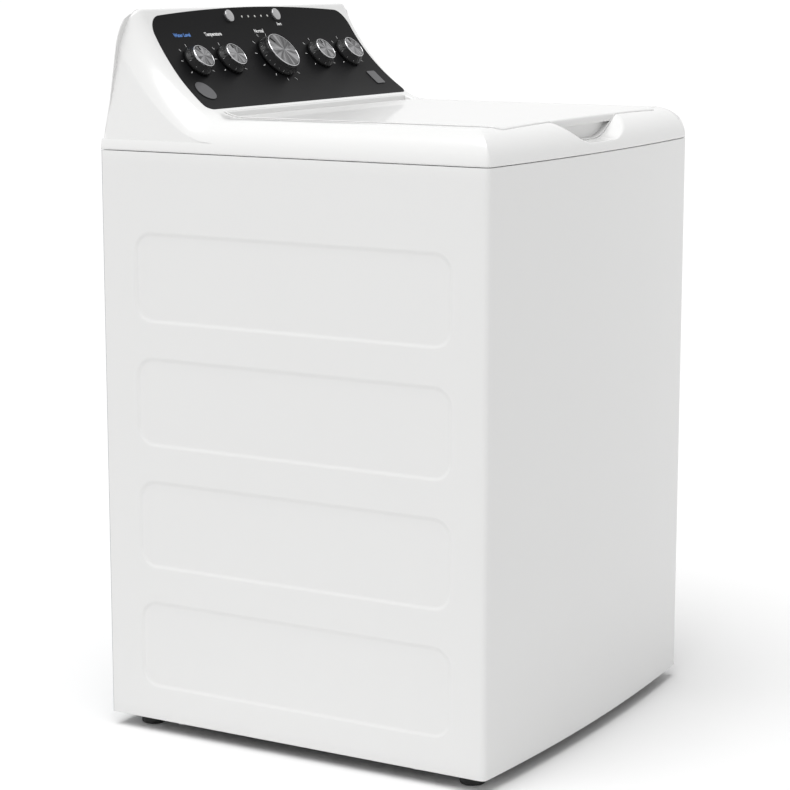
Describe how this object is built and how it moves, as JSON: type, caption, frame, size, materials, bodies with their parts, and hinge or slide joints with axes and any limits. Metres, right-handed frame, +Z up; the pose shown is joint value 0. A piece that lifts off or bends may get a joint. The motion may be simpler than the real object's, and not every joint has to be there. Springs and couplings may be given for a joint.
{
  "type": "top load washing machine",
  "caption": "Top load washing machine with a bowed white cabinet, stamped side panels, a flat hinged lid with a finger scoop, and a tall hollow-faced control console with knobs.",
  "frame": {"origin": "on the floor, under the centre of the overall box", "axes": "+X to the right when facing the front, +Y to the back, +Z up"},
  "size_m": [0.686, 0.6859, 1.118],
  "materials": {
    "white_enamel": "gloss",
    "white_plastic": "gloss",
    "galvanised_steel": "satin",
    "black_fascia": "gloss",
    "knob_plastic": "matte, with a satin silver face",
    "silver_plastic": "satin silver",
    "badge": "satin",
    "lamp": "gloss",
    "grey_plastic": "matte",
    "dark_plastic": "matte",
    "tub_plastic": "matte",
    "board": "matte",
    "black_rubber": "matte",
    "cast_alloy": "cast",
    "steel": "satin",
    "motor_paint": "satin"
  },
  "bodies": {
    "cabinet": {"cabinet_wrapper": "white_enamel", "rear_panel": "galvanised_steel", "base_rails": "galvanised_steel", "corner_plates": "galvanised_steel", "base_bolts": "steel", "top_corner_brackets": "galvanised_steel", "suspension_rods": "steel", "top_cover": "white_plastic", "lid_lock": "dark_plastic", "hinge_pins": "steel", "console_housing": "white_plastic", "console_rear_cover": "white_enamel", "control_fascia": "black_fascia", "badge_plates": "badge", "lamps": "lamp", "selectors": "grey_plastic", "button_switches": "dark_plastic", "control_board": "board", "inlet_valve": "grey_plastic", "water_spout": "grey_plastic", "pressure_switch": "grey_plastic", "power_gland": "dark_plastic", "drain_spigot": "grey_plastic", "rear_screws": "steel"},
    "lid": {"lid_panel": "white_enamel", "lid_liner": "white_plastic", "lid_bumpers": "black_rubber"},
    "cycle_selector": {"cycle_knob": "knob_plastic"},
    "water_level_selector": {"knob_water_level": "knob_plastic"},
    "temperature_selector": {"knob_temperature": "knob_plastic"},
    "options_selector": {"knob_options": "knob_plastic"},
    "softener_selector": {"knob_softener": "knob_plastic"},
    "deep_fill_push": {"button_deep_fill": "silver_plastic"},
    "start_push": {"button_start": "silver_plastic"},
    "front_left_foot": {"foot_front_left": "black_rubber"},
    "front_right_foot": {"foot_front_right": "black_rubber"},
    "rear_left_foot": {"foot_rear_left": "black_rubber"},
    "rear_right_foot": {"foot_rear_right": "black_rubber"},
    "tub": {"outer_tub": "tub_plastic", "tub_ring": "tub_plastic", "shaft_housing": "cast_alloy", "bearings": "steel", "tub_seal": "black_rubber", "mounting_plate": "galvanised_steel", "motor": "motor_paint", "belt": "black_rubber", "pump": "dark_plastic", "suspension_springs": "steel"},
    "drum": {"basket_drum": "steel", "basket_base": "grey_plastic", "balance_ring": "grey_plastic", "basket_hub": "cast_alloy", "spin_tube": "steel"},
    "agitator_base": {"agitator": "white_plastic", "drive_shaft": "steel", "drive_pulley": "cast_alloy"},
    "agitator_top": {"auger": "white_plastic", "softener_cup": "grey_plastic"},
    "motor_shaft": {"motor_pulley": "steel"}
  },
  "joints": [
    {"name": "lid_hinge", "type": "hinge", "parent": "cabinet", "child": "lid", "pos_m": [0, 0.146, 0.949], "axis": [-1, 0, 0], "range_deg": [0, 100]},
    {"name": "cycle_turn", "type": "hinge", "parent": "cabinet", "child": "cycle_selector", "pos_m": [0, 0.24393, 1.03542], "axis": [0, -0.7615, 0.6481], "continuous": true},
    {"name": "water_level_turn", "type": "hinge", "parent": "cabinet", "child": "water_level_selector", "pos_m": [-0.2217, 0.24393, 1.03542], "axis": [0, -0.7615, 0.6481], "range_deg": [-135, 135]},
    {"name": "temperature_turn", "type": "hinge", "parent": "cabinet", "child": "temperature_selector", "pos_m": [-0.132, 0.24393, 1.03542], "axis": [0, -0.7615, 0.6481], "range_deg": [-135, 135]},
    {"name": "options_turn", "type": "hinge", "parent": "cabinet", "child": "options_selector", "pos_m": [0.132, 0.24393, 1.03542], "axis": [0, -0.7615, 0.6481], "range_deg": [-135, 135]},
    {"name": "softener_turn", "type": "hinge", "parent": "cabinet", "child": "softener_selector", "pos_m": [0.2217, 0.24393, 1.03542], "axis": [0, -0.7615, 0.6481], "range_deg": [-135, 135]},
    {"name": "deep_fill_press", "type": "slide", "parent": "cabinet", "child": "deep_fill_push", "axis": [0, 0.8957, -0.4446], "range_m": [0, 0.002], "stiffness_N_per_m": 400, "springref_m": -0.002},
    {"name": "start_press", "type": "slide", "parent": "cabinet", "child": "start_push", "axis": [0, 0.8957, -0.4446], "range_m": [0, 0.002], "stiffness_N_per_m": 400, "springref_m": -0.002},
    {"name": "front_left_level", "type": "slide", "parent": "cabinet", "child": "front_left_foot", "axis": [0, 0, 1], "range_m": [-0.015, 0.006]},
    {"name": "front_right_level", "type": "slide", "parent": "cabinet", "child": "front_right_foot", "axis": [0, 0, 1], "range_m": [-0.015, 0.006]},
    {"name": "rear_left_level", "type": "slide", "parent": "cabinet", "child": "rear_left_foot", "axis": [0, 0, 1], "range_m": [-0.015, 0.006]},
    {"name": "rear_right_level", "type": "slide", "parent": "cabinet", "child": "rear_right_foot", "axis": [0, 0, 1], "range_m": [-0.015, 0.006]},
    {"name": "tub_bounce", "type": "slide", "parent": "cabinet", "child": "tub", "axis": [0, 0, 1], "range_m": [-0.03, 0.02], "stiffness_N_per_m": 9000, "springref_m": 0.0484, "deforming": ["suspension_springs"]},
    {"name": "drum_turn", "type": "hinge", "parent": "tub", "child": "drum", "pos_m": [0, -0.01, 0.5], "axis": [0, 0, 1], "continuous": true},
    {"name": "agitator_turn", "type": "hinge", "parent": "tub", "child": "agitator_base", "pos_m": [0, -0.01, 0.4], "axis": [0, 0, 1], "continuous": true},
    {"name": "auger_turn", "type": "hinge", "parent": "agitator_base", "child": "agitator_top", "pos_m": [0, -0.01, 0.6], "axis": [0, 0, 1], "continuous": true},
    {"name": "motor_turn", "type": "hinge", "parent": "tub", "child": "motor_shaft", "pos_m": [0, 0.18, 0.1], "axis": [0, 0, 1], "continuous": true}
  ],
  "couplings": [
    {"joint": "motor_turn", "follows": "agitator_turn", "ratio": 6}
  ]
}
